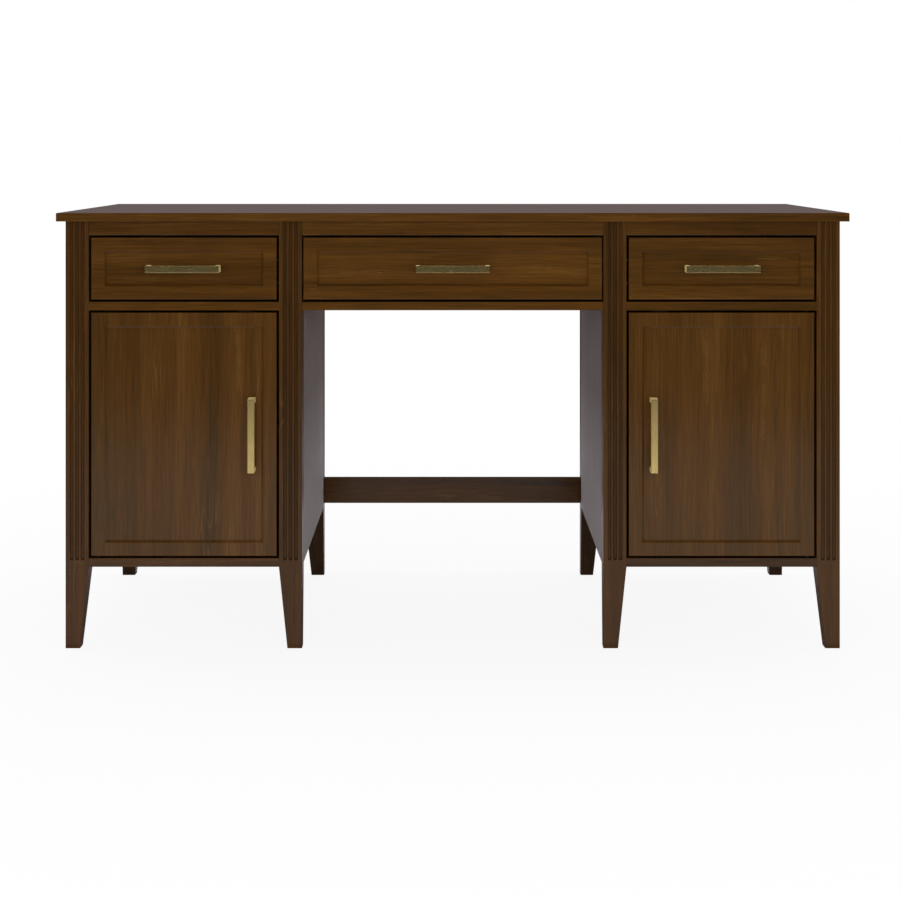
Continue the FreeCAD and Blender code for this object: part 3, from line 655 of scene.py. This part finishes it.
for name in DRAWERS:
    dress(f"{name}_drawer_handle", level_brass)
    dress(f"{name}_drawer_slides", zinc)
    dress(f"{name}_drawer_handle_screws", plated)
for side in SIDES:
    dress(f"{side}_door_handle", upright_brass)
    dress(f"{side}_door_handle_screws", plated)
    dress(f"{side}_door_pivot_bushes", dark_brass)
dress("door_pivot_pins", dark_brass)
dress("runner_tracks", zinc)
dress("shelf_pins", plated)
dress("foot_glides", black_plastic)
dress("door_catches", catch_plastic_dark_as_shade)


# Eased edges on the square boards

EASE_WIDTH = 0.9 * MILLIMETRE
EASE_SEGMENTS = 2
EASE_ANGLE = 0.9
WELD_DISTANCE = 0.01 * MILLIMETRE
SQUARE_BOARDS = [
    "pedestal_top_rails", "centre_top_rail", "centre_drawer_rail", "rear_apron", "rear_stretcher",
    "cupboard_shelves", "pedestal_back_panels", "glue_blocks", "runner_spacers", "door_catches",
]
SQUARE_BOARDS += [f"{name}_drawer_{piece}" for name in DRAWERS for piece in ("back", "bottom")]


def ease_edges(name):
    weld = nodes[name].modifiers.new("weld", "WELD")
    weld.merge_threshold = WELD_DISTANCE
    bevel = nodes[name].modifiers.new("ease", "BEVEL")
    bevel.width = EASE_WIDTH
    bevel.segments = EASE_SEGMENTS
    bevel.limit_method = "ANGLE"
    bevel.angle_limit = EASE_ANGLE


for name in SQUARE_BOARDS:
    ease_edges(name)


# Floor, background and cards

WORLD_LIGHT = 0.36
FLOOR_HALF = 30.0
FLOOR_NEAR = 0.5
FLOOR_FAR = 1.8
FLOOR_PAPER = (0.85, 0.85, 0.85, 1.0)
NEAR_GLOW = 0.90


def sees_background(tree):
    """1 for the rays that show the background: straight from the camera, mirrored or through glass."""
    path = add(tree, "ShaderNodeLightPath")
    total = calculate(tree, "ADD", path.outputs["Is Camera Ray"], path.outputs["Is Glossy Ray"], True)
    return calculate(tree, "ADD", total, path.outputs["Is Transmission Ray"], True)


def stage_plane(name, x, y, z):
    """A flat piece of the studio with a bare material, and that material's node tree.

    Two of its three places are ranges."""
    if not isinstance(x, tuple):
        corners = [(x, y[0], z[0]), (x, y[1], z[0]), (x, y[1], z[1]), (x, y[0], z[1])]
    elif not isinstance(y, tuple):
        corners = [(x[0], y, z[0]), (x[1], y, z[0]), (x[1], y, z[1]), (x[0], y, z[1])]
    else:
        corners = [(x[0], y[0], z), (x[1], y[0], z), (x[1], y[1], z), (x[0], y[1], z)]
    mesh = bpy.data.meshes.new(name)
    mesh.from_pydata(corners, [], [(0, 1, 2, 3)])
    plane = bpy.data.objects.new(name, mesh)
    scene.collection.objects.link(plane)
    material = bpy.data.materials.new(name)
    material.use_nodes = True
    material.cycles.emission_sampling = "NONE"
    material.node_tree.nodes.clear()
    mesh.materials.append(material)
    return plane, material.node_tree


def glow(tree, tint):
    item = add(tree, "ShaderNodeEmission")
    put(tree, item, "Color", tint)
    put(tree, item, "Strength", 1.0)
    return item.outputs[0]


def make_floor():
    """Pale paper that takes the desk's shadow and goes over into the white background."""
    across = (-FLOOR_HALF, FLOOR_HALF)
    _, tree = stage_plane("floor", across, across, 0)
    paper = add(tree, "ShaderNodeBsdfDiffuse")
    put(tree, paper, "Color", FLOOR_PAPER)
    length = add(tree, "ShaderNodeVectorMath", operation="LENGTH")
    put(tree, length, 0, world_place(tree))
    share = spread(tree, length.outputs["Value"], FLOOR_NEAR, FLOOR_FAR, NEAR_GLOW, 1.0)
    blend = add(tree, "ShaderNodeMixShader")
    put(tree, blend, 0, times(tree, sees_background(tree), share))
    put(tree, blend, 1, paper.outputs[0])
    put(tree, blend, 2, glow(tree, WHITE))
    put(tree, add(tree, "ShaderNodeOutputMaterial"), "Surface", blend.outputs[0])


def make_world():
    """A white background that lights the desk with less than it shows."""
    world = bpy.data.worlds.new("studio")
    scene.world = world
    world.use_nodes = True
    tree = world.node_tree
    background = tree.nodes["Background"]
    put(tree, background, "Color", WHITE)
    put(tree, background, "Strength", spread(tree, sees_background(tree), 0.0, 1.0, WORLD_LIGHT, 1.0))


def make_card(name, x, y, z, glows):
    """A studio card that only the varnish and the brass mirror. Two of its three places are ranges.

    Its glow goes through stops of (share of the way up or back, colour, level), or is even with one stop."""
    card, tree = stage_plane(name, x, y, z)
    stops = [(place, tuple(level * part for part in tint) + (1.0,)) for place, tint, level in glows]
    tint = stops[0][1]
    if len(stops) > 1:
        way, limits = ("Z", z) if isinstance(z, tuple) else ("Y", y)
        tint = ramp(tree, spread(tree, parts(tree, world_place(tree))[way], *limits), stops)
    put(tree, add(tree, "ShaderNodeOutputMaterial"), "Surface", glow(tree, tint))
    card.visible_camera = False
    card.visible_diffuse = False
    card.visible_shadow = False


CARD_HALF_WIDTH = 1.7
CARD_HEIGHT = 2.6
CARD_FRONT = -2.74
CARD_REAR = 0.9
SHADOW_LEVEL = 0.2 * MILLIMETRE
COOL_GREY = (0.88, 0.91, 1.0)
PINK_GREY = (1.0, 0.90, 0.95)
WARM_GREY = (1.0, 0.85, 0.88)
DARK_GLOW = [(0.0, COOL_GREY, 0.02)]
FRONT_GLOW = [(0.0, PINK_GREY, 0.03)]
LOW_GLOW = [(0.0, PINK_GREY, 1.7)]
SHADOW_GLOW = [
    (0.0, PINK_GREY, 0.30), (0.12, PINK_GREY, 0.20), (0.35, PINK_GREY, 0.12), (1.0, PINK_GREY, 0.08),
]
REAR_GLOW = [
    (0.0, COOL_GREY, 3.4), (0.05, COOL_GREY, 1.0), (0.09, COOL_GREY, 0.06), (0.20, PINK_GREY, 0.09),
    (0.28, WARM_GREY, 0.16), (0.33, WARM_GREY, 0.218),
]
along = (-CARD_HALF_WIDTH, CARD_HALF_WIDTH)
depth = (CARD_FRONT, CARD_REAR)
upright = (0.0, CARD_HEIGHT)
desk_width = (cad_low[0], cad_high[0])
desk_depth = (cad_low[1], cad_high[1])
behind = (cad_high[1], CARD_REAR)
CARDS = (
    ("front_card", along, CARD_FRONT, upright, FRONT_GLOW),
    ("rear_card", along, CARD_REAR, upright, REAR_GLOW),
    ("ceiling_card", along, depth, CARD_HEIGHT, DARK_GLOW),
    ("left_card", -CARD_HALF_WIDTH, depth, upright, DARK_GLOW),
    ("right_card", CARD_HALF_WIDTH, depth, upright, DARK_GLOW),
    ("shadow_card", desk_width, desk_depth, SHADOW_LEVEL, SHADOW_GLOW),
    ("low_card", along, behind, SHADOW_LEVEL, LOW_GLOW),
)


# Lamps and camera

DESK_MIDDLE = (0.0, 0.0, 0.4)
DESK_FRONT = (0.0, 0.0, 0.7)
DESK_TOP = (0.0, 0.2, 0.77)
# Place, target, width, height and watts
SOFTBOXES = {
    "front_softbox": ((0.0, -2.7, 0.95), DESK_FRONT, 3.6, 0.9, 42.0),
    "rear_softbox": ((0.0, 4.7, 1.2), DESK_MIDDLE, 4.2, 1.7, 60.0),
    "left_softbox": ((-4.4, 0.9, 1.2), DESK_MIDDLE, 2.0, 1.7, 40.0),
    "right_softbox": ((4.4, 0.9, 1.2), DESK_MIDDLE, 2.0, 1.7, 40.0),
    "top_softbox": ((0.0, 0.6, 3.0), DESK_TOP, 3.0, 1.6, 30.0),
}
CAMERA_PLACE = (-0.0048, -3.485, 0.874)
CAMERA_LENS = 72.37
CAMERA_SHIFT = -0.3276


def make_softbox(name, place, target, width, height, power):
    """A softbox that lights the desk without a hot spot in its varnish."""
    light = bpy.data.lights.new(name, "AREA")
    light.shape = "RECTANGLE"
    light.size = width
    light.size_y = height
    light.energy = power
    lamp = bpy.data.objects.new(name, light)
    lamp.location = place
    lamp.rotation_euler = (Vector(target) - Vector(place)).to_track_quat("-Z", "Y").to_euler()
    lamp.visible_camera = False
    lamp.visible_glossy = False
    scene.collection.objects.link(lamp)


def make_camera():
    """A level camera: the lens shift brings the desk, which lies below the horizon, into the frame."""
    data = bpy.data.cameras.new("camera")
    data.lens = CAMERA_LENS
    data.shift_y = CAMERA_SHIFT
    camera = bpy.data.objects.new("camera", data)
    camera.location = CAMERA_PLACE
    camera.rotation_euler = (QUARTER_TURN, 0, 0)
    scene.collection.objects.link(camera)
    scene.camera = camera


make_floor()
make_world()
for name, settings in SOFTBOXES.items():
    make_softbox(name, *settings)
for card in CARDS:
    make_card(*card)
make_camera()
